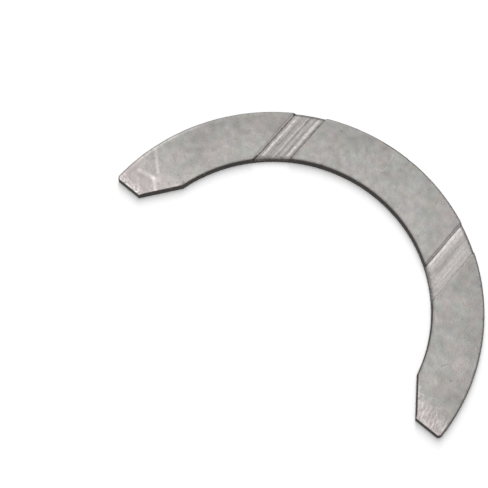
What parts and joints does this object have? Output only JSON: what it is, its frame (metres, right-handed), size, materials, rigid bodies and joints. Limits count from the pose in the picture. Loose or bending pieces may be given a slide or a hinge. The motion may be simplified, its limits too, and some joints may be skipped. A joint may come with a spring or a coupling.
{
  "type": "half thrust washer",
  "caption": "Flat half-ring thrust washer with straight oil grooves across its bearing face, relieved inner corners at the ends and a plain back.",
  "frame": {"origin": "centre of the bounding box, at the height of the back that the washer lies on", "axes": "+Z out of the bearing face, +Y from the open side of the half ring to its crown, +X along the line from end to end"},
  "size_m": [0.108, 0.0538, 0.0023],
  "materials": {
    "bearing_metal": "satin"
  },
  "bodies": {
    "root": {"thrust_washer_half": "bearing_metal"}
  },
  "joints": []
}
